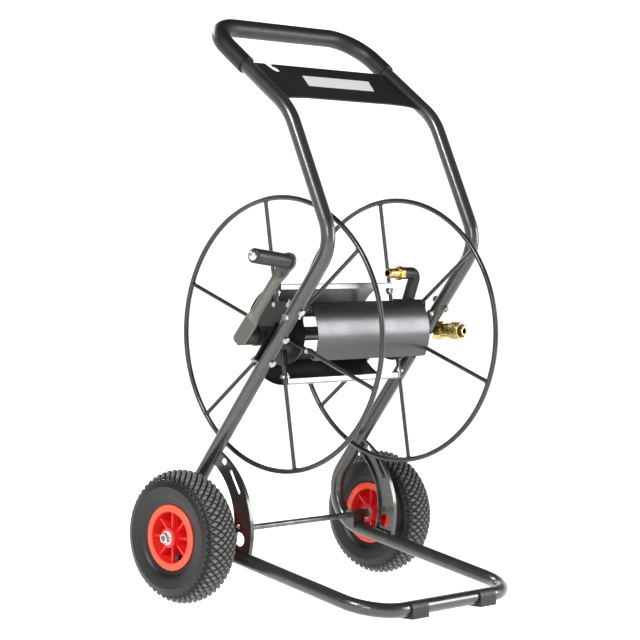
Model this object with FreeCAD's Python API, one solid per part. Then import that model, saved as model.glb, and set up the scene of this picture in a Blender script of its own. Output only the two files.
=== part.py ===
# Garden hose reel cart: a bent-tube hand cart on two pneumatic wheels, with a steel wire reel turned by a
# side crank. Water enters at a brass swivel on the far side and leaves at a nipple in the drum.
#
# Axes: X runs from the crank side (near, -X) to the water side (far, +X); Y runs from the toe bar (-Y) to the
# wheels (+Y); Z is up. While it is modelled, x = 0 is the middle of the frame, y = 0 is the wheel axle and
# z = 0 is the floor. The finished pieces are then moved together, so that the origin is the middle of the
# footprint box, on the floor.
import FreeCAD
import Part

import math
import os

from FreeCAD import Vector

# ---------------------------------------------------------------- driving dimensions, millimetres, degrees

# frame tube
TUBE_OD = 28.0
TUBE_WALL = 2.0
LEG_X = 211.0                 # middle plane of each side of the frame
HANDLE_Y, HANDLE_Z = 12.0, 1126.0
SHOULDER_Y, SHOULDER_Z = -215.0, 952.0
KNEE_Y, KNEE_Z = -328.0, 699.0
HEEL_Y = 113.0
HEEL_DROP = 2.0               # the heel corner lies this far under the wheel axle
TOE_Y = -434.0
HANDLE_BEND = 76.0            # bend radii of the tube's centre line
SHOULDER_BEND = 120.0
KNEE_BEND = 80.0
HEEL_BEND = 79.0
TOE_BEND = 80.0

# wheels
TYRE_OD = 260.0
TYRE_WIDTH = 85.0
RIM_FLANGE_R = 64.0
RIM_BARREL_R = 53.5
RIM_WIDTH = 66.0
RIM_WALL = 3.5
HUB_LENGTH = 75.0
HUB_R = 19.0
BEARING_R = 13.0
BEARING_LENGTH = 16.0
RIB_COUNT = 8
AXLE_R = 6.0
SADDLE_WIDTH = 34.0
SPACER_LENGTH = 21.0
SPACER_R = 9.5

# hose reel
REEL_Y, REEL_Z = -148.0, 523.0
REEL_SIDE_GAP = 30.0          # from the leg's inner face to the middle of the rim rod
RIM_ROD_R = 5.0
REEL_R = 264.5
SPOKE_R = 4.0
SPOKE_COUNT = 6
SPOKE_INNER_R = 30.0
SPOKE_PHASE = 38.7            # angles on the reel run from -Y (0) up to +Z (90)
HUB_DISC_R = 60.0
HUB_DISC_T = 3.5
HUB_BOSS_R = 22.0
HUB_BOSS_LENGTH = 24.0
PIPE_R = 13.45
PIPE_BORE_R = 10.8
SHEET_R = 98.0
SHEET_T = 1.5
SHEET_LIP = 11.0
SHEET_COUNT = 3
SHEET_CENTRE = 5.5
SHEET_HALF_SPAN = 35.0
TAB_WIDTH = 9.0
TAB_LENGTH = 21.0
SCREW_RADIUS_ON_REEL = 82.0

# reel bearings
BRACKET_T = 4.0
BRACKET_HALF_LENGTH = 46.0    # along the leg, each side of the reel axis
BRACKET_OVERHANG = 1.0        # of the flange past the tube, outwards
WEB_FRONT, WEB_REAR = 76.0, 36.0
FAR_WEB_FRONT = 58.0          # the water side's web is cut shorter
WEB_DOWN, WEB_UP = 19.0, 64.0
WEB_SETBACK = 8.5             # of the web's front edge, behind the leg's centre line
BRACKET_BOLT_OFFSET = 29.0
BUSH_R = 17.0
BUSH_FLANGE_R = 24.0
BUSH_FLANGE_T = 3.0
NEAR_BUSH_REACH = 15.0        # how far each bush stands past the tube's middle plane, outwards
FAR_BUSH_REACH = -5.0
NEAR_COLLAR_R, FAR_COLLAR_R = 20.0, 18.0
COLLAR_LENGTH = 10.0
COLLAR_GAP = 0.7              # radial, between the turning collar and the bracket's notch
BUSH_SCREW_SPACING = 38.0
BUSH_SCREW_DROP = 5.5

# joint of handle bow and base frame
SEAM_ABOVE_AXIS = 85.0
SLEEVE_HALF_LENGTH = 45.0
FRONT_BOLT_ABOVE_SEAM = 11.0
SIDE_BOLT_BELOW_SEAM = 12.0

# crank
CRANK_LEAN = 40.0             # from vertical, forwards
CRANK_X = -269.5
ARM_TUBE_R = 11.0
FLAT_WIDTH = 34.0
FLAT_T = 5.0
ARM_TAIL = 20.0
ARM_LOWER_FLAT_END = 38.0
ARM_TUBE_START = 58.0
ARM_TUBE_END = 142.0
ARM_UPPER_FLAT_START = 162.0
CRANK_THROW = 185.0
GRIP_TILT = 8.0
GRIP_R = 14.0
GRIP_LENGTH = 100.0
GRIP_PIN_R = 4.0
CRANK_HUB_R = 18.0
CRANK_HUB_LENGTH = 27.0
CRANK_SOCKET_DEPTH = 22.0

# handle
GRIP_SLEEVE_R = 17.9
SLEEVE_START_NEAR = 147.0     # along each arm, from the shoulder corner
SLEEVE_START_FAR = 166.0
PLATE_T = 3.0
PLATE_LOW, PLATE_HIGH = 46.0, 158.0
PLATE_FLARE = 11.0
LABEL_T = 0.6

# gussets
GUSSET_T = 3.0
GUSSET_FLANGE = 9.0
GUSSET_PROUD = 2.5            # of its outer face, past the leg's middle plane
EYE_HOLE_R = 14.0
TOP_HOLE_R = 7.0
SMALL_HOLE_R = 4.5
SLOT_R = 4.0

# feet
FOOT_X = 100.0
FOOT_WIDTH = 46.0
FOOT_WALL = 3.5
FOOT_SOLE = 4.0

# water fittings
OUTLET_X = 145.0
BRANCH_ANGLE = 28.8
BRANCH_R = 14.5
TEE_R = 19.0
TEE_WIDTH = 24.0
NECK_R = 12.0
NECK_BORE_R = 7.5
NECK_ELBOW_OUT = 45.7
NECK_TOP_Y, NECK_TOP_Z = -75.6, 118.0
NECK_ARM = 43.5
NIPPLE_R = 9.5
WATER_BORE_R = 6.0
INLET_ELBOW_X = 246.0
INLET_BODY_R = 15.5
INLET_HEX_AF = 32.0
INLET_NUT_R = 17.4
INLET_STUB_R = 8.8
INLET_BORE_R = 6.4

# clearances
RUNNING_FIT = 0.05            # radial, between a shaft and its bore
HOLE_CLEARANCE = 0.2          # radial, around a bolt
SIDE_PLAY = 0.3               # axial, between a turning piece and its neighbour
WELD_GAP = 0.5

# fasteners
M8_R, M8_AF, M8_HEAD = 4.0, 13.0, 5.0
M5_R, M5_HEAD_R, M5_HEAD = 2.5, 4.5, 3.0

# ---------------------------------------------------------------- derived places

TUBE_R = TUBE_OD / 2
TUBE_BORE_R = TUBE_R - TUBE_WALL
AXLE_Z = TYRE_OD / 2
HEEL_Z = AXLE_Z - HEEL_DROP
TOE_Z = FOOT_SOLE + TUBE_R
WHEEL_X = LEG_X + SADDLE_WIDTH / 2 + SPACER_LENGTH + SIDE_PLAY + HUB_LENGTH / 2
FLANGE_X = LEG_X - TUBE_R - REEL_SIDE_GAP
SHEET_END = FLANGE_X - SPOKE_R
AXLE_END = WHEEL_X + HUB_LENGTH / 2 + 11.0
X_AXIS = Vector(1, 0, 0)

_leg_length = math.hypot(KNEE_Y - HEEL_Y, KNEE_Z - HEEL_Z)
UP_Y = (KNEE_Y - HEEL_Y) / _leg_length
UP_Z = (KNEE_Z - HEEL_Z) / _leg_length
LEG_UP = Vector(0, UP_Y, UP_Z)
LEG_BACK = Vector(0, UP_Z, -UP_Y)
AXIS_ALONG = (REEL_Y - HEEL_Y) * UP_Y + (REEL_Z - HEEL_Z) * UP_Z
SEAM_ALONG = AXIS_ALONG + SEAM_ABOVE_AXIS
REEL_CENTRE = Vector(0, REEL_Y, REEL_Z)

_arm_length = math.hypot(HANDLE_Y - SHOULDER_Y, HANDLE_Z - SHOULDER_Z)
ARM_UP = Vector(0, (HANDLE_Y - SHOULDER_Y) / _arm_length, (HANDLE_Z - SHOULDER_Z) / _arm_length)
ARM_FACE = Vector(0, -ARM_UP.z, ARM_UP.y)

PIPE_NEAR_END = CRANK_X + FLAT_T / 2 + CRANK_HUB_LENGTH - CRANK_SOCKET_DEPTH
PIPE_FAR_END = 228.0


# ---------------------------------------------------------------- shared shapes

def leg_point(x, along, back=0.0):
    """Point beside a leg: up the leg from the heel corner, and back from its centre line."""
    return Vector(x, HEEL_Y, HEEL_Z) + LEG_UP * along + LEG_BACK * back


def arm_point(x, along, out=0.0):
    """Point on the plane of the handle arms: up the arm from the shoulder corner, and off its face."""
    return Vector(x, SHOULDER_Y, SHOULDER_Z) + ARM_UP * along + ARM_FACE * out


def reel_direction(angle):
    """Radial direction on the reel; 0 points forwards and 90 points up."""
    return Vector(0, -math.cos(math.radians(angle)), math.sin(math.radians(angle)))


def reel_point(x, radius, angle):
    return Vector(x, REEL_Y, REEL_Z) + reel_direction(angle) * radius


def turned_on_reel(shape, angle):
    """A copy of a shape made at angle 0, turned about the reel axis."""
    copy = shape.copy()
    copy.rotate(REEL_CENTRE, X_AXIS, -angle)
    return copy


def other_side(shape):
    return shape.mirror(Vector(0, 0, 0), X_AXIS)


def rod(start, end, radius):
    axis = end - start
    return Part.makeCylinder(radius, axis.Length, start, axis)


def ring(start, end, outer, inner):
    return rod(start, end, outer).cut(rod(start, end, inner))


def rounded_path(points, radii):
    """Straight runs through the points, joined by tangent arcs of the given radii."""
    edges = []
    last = points[0]
    for before, corner, after, radius in zip(points, points[1:], points[2:], radii):
        into = (before - corner).normalize()
        out = (after - corner).normalize()
        turn = math.pi - into.getAngle(out)
        reach = radius * math.tan(turn / 2)
        start = corner + into * reach
        end = corner + out * reach
        inward = (into + out).normalize()
        centre = corner + inward * (radius / math.cos(turn / 2))
        middle = centre - inward * radius
        edges.append(Part.LineSegment(last, start).toShape())
        edges.append(Part.Arc(start, middle, end).toShape())
        last = end
    edges.append(Part.LineSegment(last, points[-1]).toShape())
    return Part.Wire(edges)


def swept_bar(points, radii, radius):
    path = rounded_path(points, radii)
    start = points[0]
    section = Part.Wire(Part.makeCircle(radius, start, points[1] - start))
    return path.makePipeShell([section], True, True)


def swept_tube(points, radii, outer, inner):
    return swept_bar(points, radii, outer).cut(swept_bar(points, radii, inner))


def hexagon_prism(start, direction, across_flats, length, across=None):
    """Six-sided prism; a flat faces the direction called across, or else up the leg or sideways."""
    axis = Vector(direction).normalize()
    side = Vector(across) if across else (X_AXIS if abs(axis.x) < 0.9 else LEG_UP)
    side = (side - axis * side.dot(axis)).normalize()
    third = axis.cross(side)
    corner_r = across_flats / math.sqrt(3)
    corners = []
    for k in range(6):
        a = math.radians(30 + 60 * k)
        corners.append(start + side * (corner_r * math.cos(a)) + third * (corner_r * math.sin(a)))
    return Part.Face(Part.makePolygon(corners + corners[:1])).extrude(axis * length)


def through_bolt(head_seat, direction, grip):
    """M8 bolt: hexagon head outside its seat, shank through the joint, nut on the far side."""
    axis = Vector(direction).normalize()
    shank = rod(head_seat, head_seat + axis * (grip + M8_HEAD + 3.0), M8_R)
    head = hexagon_prism(head_seat - axis * M8_HEAD, axis, M8_AF, M8_HEAD)
    nut = hexagon_prism(head_seat + axis * grip, axis, M8_AF, M8_HEAD)
    return head.fuse([shank, nut]).removeSplitter()


def drilled(shape, holes):
    """The shape with a clearance hole for each (start, end, radius)."""
    tools = [rod(start, end, radius + HOLE_CLEARANCE) for start, end, radius in holes]
    return shape.cut(tools)


def mirrored_holes(holes):
    flipped = []
    for start, end, radius in holes:
        flipped.append((Vector(-start.x, start.y, start.z), Vector(-end.x, end.y, end.z), radius))
    return holes + flipped


# ---------------------------------------------------------------- frame tubes and their joints

def joint_holes():
    """Bolt lines through the far leg: two bracket bolts, the sleeve's front bolt and its side bolt."""
    holes = []
    for offset in (-BRACKET_BOLT_OFFSET, BRACKET_BOLT_OFFSET):
        along = AXIS_ALONG + offset
        holes.append((leg_point(LEG_X, along, -2 * TUBE_R), leg_point(LEG_X, along, 2 * TUBE_R), M8_R))
    along = SEAM_ALONG + FRONT_BOLT_ABOVE_SEAM
    holes.append((leg_point(LEG_X, along, -2 * TUBE_R), leg_point(LEG_X, along, 2 * TUBE_R), M8_R))
    along = SEAM_ALONG - SIDE_BOLT_BELOW_SEAM
    holes.append((leg_point(LEG_X - 2 * TUBE_R, along), leg_point(LEG_X + 2 * TUBE_R, along), M8_R))
    return holes


def base_points():
    near = [leg_point(-LEG_X, SEAM_ALONG), Vector(-LEG_X, HEEL_Y, HEEL_Z), Vector(-LEG_X, TOE_Y, TOE_Z)]
    far = [Vector(-p.x, p.y, p.z) for p in reversed(near)]
    return near + far


def make_base_frame():
    radii = [HEEL_BEND, TOE_BEND, TOE_BEND, HEEL_BEND]
    return drilled(swept_tube(base_points(), radii, TUBE_R, TUBE_BORE_R), mirrored_holes(joint_holes()))


def make_handle_bow():
    near = [
        leg_point(-LEG_X, SEAM_ALONG),
        Vector(-LEG_X, KNEE_Y, KNEE_Z),
        Vector(-LEG_X, SHOULDER_Y, SHOULDER_Z),
        Vector(-LEG_X, HANDLE_Y, HANDLE_Z),
    ]
    far = [Vector(-p.x, p.y, p.z) for p in reversed(near)]
    bends = [KNEE_BEND, SHOULDER_BEND, HANDLE_BEND]
    tube = swept_tube(near + far, bends + bends[::-1], TUBE_R, TUBE_BORE_R)
    return drilled(tube, mirrored_holes(joint_holes()))


def make_connector_sleeves():
    """Inner sleeves that join the bow to the base frame, one in each leg."""
    outer = TUBE_BORE_R - HOLE_CLEARANCE / 2
    start = leg_point(LEG_X, SEAM_ALONG - SLEEVE_HALF_LENGTH)
    end = leg_point(LEG_X, SEAM_ALONG + SLEEVE_HALF_LENGTH)
    sleeve = drilled(ring(start, end, outer, outer - TUBE_WALL), joint_holes())
    return [sleeve, other_side(sleeve)]


def make_joint_bolts():
    front = through_bolt(
        leg_point(LEG_X, SEAM_ALONG + FRONT_BOLT_ABOVE_SEAM, -TUBE_R), LEG_BACK, TUBE_OD)
    side = through_bolt(
        leg_point(LEG_X + TUBE_R, SEAM_ALONG - SIDE_BOLT_BELOW_SEAM), Vector(-1, 0, 0), TUBE_OD)
    return [front, side, other_side(front), other_side(side)]


def leg_and_base_core():
    """Solid outer shape of the base frame, used to fit what is welded to it."""
    return swept_bar(base_points(), [HEEL_BEND, TOE_BEND, TOE_BEND, HEEL_BEND], TUBE_R)


# ---------------------------------------------------------------- gussets

def gusset_outline(inset):
    """Crescent between leg and base, drawn in the side plane; both ends run into the tubes."""
    def arc(start, middle, end):
        return Part.Arc(*[Vector(LEG_X, y, z) for y, z in (start, middle, end)]).toShape()

    def line(start, end):
        return Part.LineSegment(Vector(LEG_X, *start), Vector(LEG_X, *end)).toShape()

    outer = [(-22.0, HEEL_Z + 166.0), (-101.0 + inset, HEEL_Z + 82.0), (-103.0 + inset, HEEL_Z - 50.0)]
    inner = [(-54.0 - inset, HEEL_Z - 40.0), (-61.0 - inset, HEEL_Z + 74.0), (-8.0, HEEL_Z + 142.0)]
    outer[0] = (outer[0][0], outer[0][1] - 1.4 * inset)
    inner[2] = (inner[2][0], inner[2][1] + 1.4 * inset)
    edges = [arc(*outer), line(outer[2], inner[0]), arc(*inner), line(inner[2], outer[0])]
    return Part.Face(Part.Wire(edges))


def make_gusset(core):
    """Pressed plate with its two long edges turned inwards, welded to the leg and to the base."""
    depth = X_AXIS * -GUSSET_FLANGE
    plate = gusset_outline(0.0).extrude(depth)
    hollow = gusset_outline(GUSSET_T).extrude(depth)
    hollow.translate(X_AXIS * -GUSSET_T)
    plate = plate.cut(hollow)
    plate.translate(X_AXIS * GUSSET_PROUD)
    through = Vector(3 * GUSSET_FLANGE, 0, 0)
    low_x = LEG_X - 2 * GUSSET_FLANGE

    def hole(y, above_heel, radius):
        start = Vector(low_x, y, HEEL_Z + above_heel)
        return rod(start, start + through, radius)

    top_y, top_z, low_y, low_z = -60.0, 126.0, -82.0, 88.0
    slot_ends = [hole(top_y, top_z, SLOT_R), hole(low_y, low_z, SLOT_R)]
    run = Vector(0, low_y - top_y, low_z - top_z)
    across = Vector(0, -run.z, run.y).normalize() * SLOT_R
    corner = Vector(low_x, top_y, HEEL_Z + top_z)
    corners = [corner + across, corner - across, corner - across + run, corner + across + run]
    slot = Part.Face(Part.makePolygon(corners + corners[:1])).extrude(through)
    holes = [hole(-41.0, 145.0, TOP_HOLE_R), hole(-83.0, -3.5, EYE_HOLE_R), hole(-81.0, 21.0, SMALL_HOLE_R)]
    return plate.cut(slot_ends + [slot] + holes).cut(core)


# ---------------------------------------------------------------- axle and its saddles

def make_wheel_axle():
    return rod(Vector(-AXLE_END, 0, AXLE_Z), Vector(AXLE_END, 0, AXLE_Z), AXLE_R)


def make_axle_saddles(core):
    """Forged saddle on each base tube, bored for the axle."""
    radius = 2 * AXLE_R
    left = LEG_X - SADDLE_WIDTH / 2
    block = Part.makeBox(SADDLE_WIDTH, 2 * radius, 2 * radius, Vector(left, -radius, AXLE_Z - 2 * radius))
    crown = rod(Vector(left, 0, AXLE_Z), Vector(left + SADDLE_WIDTH, 0, AXLE_Z), radius)
    bore = rod(Vector(left, 0, AXLE_Z), Vector(left + SADDLE_WIDTH, 0, AXLE_Z), AXLE_R + RUNNING_FIT)
    saddle = max(block.fuse(crown).cut([bore, core]).removeSplitter().Solids, key=lambda s: s.Volume)
    return [saddle, other_side(saddle)]


def make_wheel_spacers():
    start = LEG_X + SADDLE_WIDTH / 2
    spacer = ring(
        Vector(start, 0, AXLE_Z), Vector(start + SPACER_LENGTH, 0, AXLE_Z), SPACER_R, AXLE_R + RUNNING_FIT)
    return [spacer, other_side(spacer)]


def make_axle_washers():
    start = WHEEL_X + HUB_LENGTH / 2 + SIDE_PLAY
    washer = ring(Vector(start, 0, AXLE_Z), Vector(start + 2.0, 0, AXLE_Z), 14.0, AXLE_R + RUNNING_FIT)
    return [washer, other_side(washer)]


def make_axle_nuts():
    start = WHEEL_X + HUB_LENGTH / 2 + SIDE_PLAY + 2.0
    nut = hexagon_prism(Vector(start, 0, AXLE_Z), X_AXIS, 19.0, 10.0)
    chamfer = Part.makeCone(15.0, 9.0, 10.0, Vector(start, 0, AXLE_Z), X_AXIS)
    bore = rod(Vector(start, 0, AXLE_Z), Vector(start + 10.0, 0, AXLE_Z), AXLE_R)
    nut = nut.common(chamfer).cut(bore)
    return [nut, other_side(nut)]


# ---------------------------------------------------------------- handle

def make_handle_sleeve():
    """Foam sleeve over the crossbar and the upper part of both arms."""
    points = [
        arm_point(-LEG_X, SLEEVE_START_NEAR),
        Vector(-LEG_X, HANDLE_Y, HANDLE_Z),
        Vector(LEG_X, HANDLE_Y, HANDLE_Z),
        arm_point(LEG_X, SLEEVE_START_FAR),
    ]
    return swept_tube(points, [HANDLE_BEND, HANDLE_BEND], GRIP_SLEEVE_R, TUBE_R)


def plate_prism(corners, low, high):
    """Prism on the arm plane: corners are (x, along) pairs, low and high are offsets off its face."""
    points = [arm_point(x, along, low) for x, along in corners]
    return Part.Face(Part.makePolygon(points + points[:1])).extrude(ARM_FACE * (high - low))


def make_cross_plate():
    """Steel sheet between the arms; a hook slot opens at its top edge near the crank side."""
    half = PLATE_T / 2
    edge = LEG_X - TUBE_R
    corners = [(-edge - half, PLATE_LOW - PLATE_FLARE), (-edge + 30.0, PLATE_LOW - 3.0)]
    corners += [(-edge + 75.0, PLATE_LOW), (edge - 75.0, PLATE_LOW), (edge - 30.0, PLATE_LOW - 3.0)]
    corners += [(edge + half, PLATE_LOW - PLATE_FLARE), (edge + half, PLATE_HIGH), (-edge - half, PLATE_HIGH)]
    plate = plate_prism(corners, -half, half)
    hook = rod(arm_point(-136.0, 142.0, -PLATE_T), arm_point(-136.0, 142.0, PLATE_T), 10.0)
    mouth_corners = [(-153.0, PLATE_HIGH + 1), (-145.0, 138.0), (-136.0, 147.0), (-133.0, PLATE_HIGH + 1)]
    mouth = plate_prism(mouth_corners, -PLATE_T, PLATE_T)
    arms = [rod(arm_point(x, -40.0), arm_point(x, 300.0), TUBE_R) for x in (-LEG_X, LEG_X)]
    bends = [swept_bar([Vector(x, KNEE_Y, KNEE_Z), Vector(x, SHOULDER_Y, SHOULDER_Z), arm_point(x, 200.0)],
                       [SHOULDER_BEND], TUBE_R) for x in (-LEG_X, LEG_X)]
    room = GRIP_SLEEVE_R + WELD_GAP
    grips = [rod(arm_point(-LEG_X, SLEEVE_START_NEAR - 1), arm_point(-LEG_X, 200.0), room),
             rod(arm_point(LEG_X, SLEEVE_START_FAR - 1), arm_point(LEG_X, 200.0), room)]
    return plate.cut([hook, mouth] + arms + bends + grips)


def make_label_panel():
    """Blank label panel with slanted ends, on the plate's upper face."""
    return plate_prism([(-85.0, 88.0), (104.5, 88.0), (118.0, 123.5), (-75.0, 123.5)],
                       PLATE_T / 2, PLATE_T / 2 + LABEL_T)


# ---------------------------------------------------------------- reel bearings

WEB_INNER = LEG_X - TUBE_R - WELD_GAP - BRACKET_T


def make_bearing_bracket(front):
    """Folded angle: one flange bolted behind the leg, one web across the reel axis."""
    web = Part.makeBox(BRACKET_T, front + WEB_REAR, WEB_DOWN + WEB_UP,
                       Vector(WEB_INNER, REEL_Y - front, REEL_Z - WEB_DOWN))
    cut = [leg_point(WEB_INNER - 1, AXIS_ALONG + along, back)
           for along, back in ((-200, -200), (200, -200), (200, WEB_SETBACK), (-200, WEB_SETBACK))]
    web = web.cut(Part.Face(Part.makePolygon(cut + cut[:1])).extrude(X_AXIS * (BRACKET_T + 2)))
    outer_x = LEG_X + TUBE_R + BRACKET_OVERHANG
    corners = []
    for along, back in ((-1, 0), (1, 0), (1, 1), (-1, 1)):
        corners.append(leg_point(WEB_INNER, AXIS_ALONG + along * BRACKET_HALF_LENGTH,
                                 TUBE_R + back * BRACKET_T))
    flange = Part.Face(Part.makePolygon(corners + corners[:1])).extrude(X_AXIS * (outer_x - WEB_INNER))
    bracket = web.fuse(flange).removeSplitter()
    bore = rod(reel_point(WEB_INNER - 1, 0, 0), reel_point(outer_x + 1, 0, 0), BUSH_R + HOLE_CLEARANCE)
    notch_start = reel_point(WEB_INNER + BRACKET_T, 0, 0)
    notch = rod(notch_start, reel_point(outer_x + 1, 0, 0), FAR_COLLAR_R + COLLAR_GAP)
    return drilled(bracket.cut([bore, notch]), joint_holes()[:2] + bush_screw_holes())


def make_bracket_bolts():
    bolts = []
    for offset in (-BRACKET_BOLT_OFFSET, BRACKET_BOLT_OFFSET):
        seat = leg_point(LEG_X, AXIS_ALONG + offset, -TUBE_R)
        bolt = through_bolt(seat, LEG_BACK, TUBE_OD + BRACKET_T)
        bolts += [bolt, other_side(bolt)]
    return bolts


def make_bush(reach):
    """Flanged plastic bush in the web; reach is how far it stands past the leg's middle plane."""
    body = rod(reel_point(WEB_INNER, 0, 0), reel_point(LEG_X + reach, 0, 0), BUSH_R)
    flange = rod(reel_point(WEB_INNER - BUSH_FLANGE_T, 0, 0), reel_point(WEB_INNER, 0, 0), BUSH_FLANGE_R)
    bore = rod(reel_point(WEB_INNER - 20, 0, 0), reel_point(LEG_X + 40, 0, 0), PIPE_R + RUNNING_FIT)
    return body.fuse(flange).cut(bore).removeSplitter()


def make_near_bush():
    return other_side(make_bush(NEAR_BUSH_REACH))


def bush_screw_holes():
    holes = []
    for side in (-0.5, 0.5):
        centre = Vector(0, REEL_Y - 33.0 + side * BUSH_SCREW_SPACING, REEL_Z + WEB_UP - BUSH_SCREW_DROP)
        start = centre + X_AXIS * (WEB_INNER - 10)
        holes.append((start, start + X_AXIS * 30, M5_R))
    return holes


def make_web_screws():
    """Pan-head screws in the top corners of each web, with their nuts."""
    screws = []
    for start, end, radius in bush_screw_holes():
        outer = start + X_AXIS * (10 + BRACKET_T)
        head = rod(outer, outer + X_AXIS * M5_HEAD, M5_HEAD_R)
        shank = rod(outer - X_AXIS * (BRACKET_T + 6), outer, radius)
        nut = hexagon_prism(outer - X_AXIS * (BRACKET_T + 4), X_AXIS, 8.0, 4.0)
        screw = head.fuse([shank, nut]).removeSplitter()
        screws += [screw, other_side(screw)]
    return screws


def make_stop_collar(start, radius):
    outer = rod(reel_point(start, 0, 0), reel_point(start + COLLAR_LENGTH, 0, 0), radius)
    bore = rod(reel_point(start - 1, 0, 0), reel_point(start + COLLAR_LENGTH + 1, 0, 0), PIPE_R)
    screw_hole = rod(reel_point(start + COLLAR_LENGTH / 2, PIPE_R - 1, 140),
                     reel_point(start + COLLAR_LENGTH / 2, radius + 1, 140), M5_R)
    return outer.cut([bore, screw_hole])


# ---------------------------------------------------------------- reel

def rim_torus(side):
    return Part.makeTorus(REEL_R, RIM_ROD_R, reel_point(side * FLANGE_X, 0, 0), X_AXIS)


def spoke_angles():
    return [SPOKE_PHASE + k * 360.0 / SPOKE_COUNT for k in range(SPOKE_COUNT)]


def make_spokes(side):
    torus = rim_torus(side)
    x = side * FLANGE_X
    spokes = []
    for angle in spoke_angles():
        spoke = rod(reel_point(x, SPOKE_INNER_R, angle), reel_point(x, REEL_R, angle), SPOKE_R)
        spoke = spoke.cut(torus)
        centre = reel_point(x, SCREW_RADIUS_ON_REEL, angle)
        spokes.append(drilled(spoke, [(centre - X_AXIS * 10, centre + X_AXIS * 10, M5_R)]))
    return spokes


def make_hub_disc():
    """Far hub disc, with the boss that is welded to the pipe."""
    face = SHEET_END
    disc = rod(reel_point(face - HUB_DISC_T, 0, 0), reel_point(face, 0, 0), HUB_DISC_R)
    boss = rod(reel_point(face, 0, 0), reel_point(face + HUB_BOSS_LENGTH, 0, 0), HUB_BOSS_R)
    bore = rod(reel_point(face - 10, 0, 0), reel_point(face + 30, 0, 0), PIPE_R)
    return disc.fuse(boss).cut(bore).removeSplitter()


def make_sheet(index):
    """Drum sheet: a curved strip with both long edges lipped inwards and four end tabs."""
    half = SHEET_HALF_SPAN
    outer, inner, lip = SHEET_R, SHEET_R - SHEET_T, SHEET_R - SHEET_LIP
    shrink_inner = math.degrees(SHEET_T / inner)
    shrink_lip = math.degrees(SHEET_T / lip)
    x = -SHEET_END

    def spot(radius, angle):
        return reel_point(x, radius, angle)

    edges = [
        Part.Arc(spot(outer, -half), spot(outer, 0), spot(outer, half)).toShape(),
        Part.LineSegment(spot(outer, half), spot(lip, half)).toShape(),
        Part.LineSegment(spot(lip, half), spot(lip, half - shrink_lip)).toShape(),
        Part.LineSegment(spot(lip, half - shrink_lip), spot(inner, half - shrink_inner)).toShape(),
        Part.Arc(spot(inner, half - shrink_inner), spot(inner, 0), spot(inner, shrink_inner - half)).toShape(),
        Part.LineSegment(spot(inner, shrink_inner - half), spot(lip, shrink_lip - half)).toShape(),
        Part.LineSegment(spot(lip, shrink_lip - half), spot(lip, -half)).toShape(),
        Part.LineSegment(spot(lip, -half), spot(outer, -half)).toShape(),
    ]
    sheet = Part.Face(Part.Wire(edges)).extrude(X_AXIS * (2 * SHEET_END))
    tabs = []
    for spoke in (SPOKE_PHASE - SHEET_CENTRE, SPOKE_PHASE - SHEET_CENTRE - 360.0 / SPOKE_COUNT):
        for end in (-SHEET_END, SHEET_END - SHEET_T):
            tab = Part.makeBox(SHEET_T, TAB_LENGTH + 1, TAB_WIDTH,
                               Vector(end, REEL_Y - inner - 0.5, REEL_Z - TAB_WIDTH / 2))
            hole_start = reel_point(end - 1, SCREW_RADIUS_ON_REEL, 0)
            tab = tab.cut(rod(hole_start, hole_start + X_AXIS * 4, M5_R + HOLE_CLEARANCE))
            tabs.append(turned_on_reel(tab, spoke))
    trim = rod(reel_point(-SHEET_END, 0, 0), reel_point(SHEET_END, 0, 0), outer)
    sheet = sheet.fuse([tab.common(trim) for tab in tabs]).removeSplitter()
    return turned_on_reel(sheet, SHEET_CENTRE + index * 360.0 / SHEET_COUNT)


def make_sheet_screws():
    """One screw and nut through each tab and its spoke."""
    screws = []
    for angle in spoke_angles():
        inner_face = SHEET_END - SHEET_T
        outer_face = FLANGE_X + SPOKE_R
        head_end = reel_point(inner_face, SCREW_RADIUS_ON_REEL, angle)
        head = rod(head_end - X_AXIS * M5_HEAD, head_end, M5_HEAD_R)
        tip = reel_point(outer_face + 5, SCREW_RADIUS_ON_REEL, angle)
        nut = hexagon_prism(reel_point(outer_face, SCREW_RADIUS_ON_REEL, angle), X_AXIS, 8.0, 4.0)
        screw = head.fuse([rod(head_end, tip, M5_R), nut]).removeSplitter()
        screws += [screw, other_side(screw)]
    return screws


def make_axle_pipe():
    """Pipe that carries the reel; its far half also carries the water."""
    pipe = ring(reel_point(PIPE_NEAR_END, 0, 0), reel_point(PIPE_FAR_END, 0, 0), PIPE_R, PIPE_BORE_R)
    port = rod(reel_point(OUTLET_X, 0, 0), reel_point(OUTLET_X, 2 * PIPE_R, BRANCH_ANGLE), NECK_BORE_R)
    return pipe.cut(port)


def make_pipe_plug():
    start = OUTLET_X - TEE_WIDTH
    return rod(reel_point(start - 14, 0, 0), reel_point(start, 0, 0), PIPE_BORE_R)


# ---------------------------------------------------------------- water outlet

def neck_corners():
    return [
        reel_point(OUTLET_X, TEE_R + 7.0, BRANCH_ANGLE),
        reel_point(OUTLET_X, NECK_ELBOW_OUT, BRANCH_ANGLE),
        Vector(OUTLET_X, REEL_Y + NECK_TOP_Y, REEL_Z + NECK_TOP_Z),
        Vector(OUTLET_X - NECK_ARM, REEL_Y + NECK_TOP_Y, REEL_Z + NECK_TOP_Z),
    ]


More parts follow.
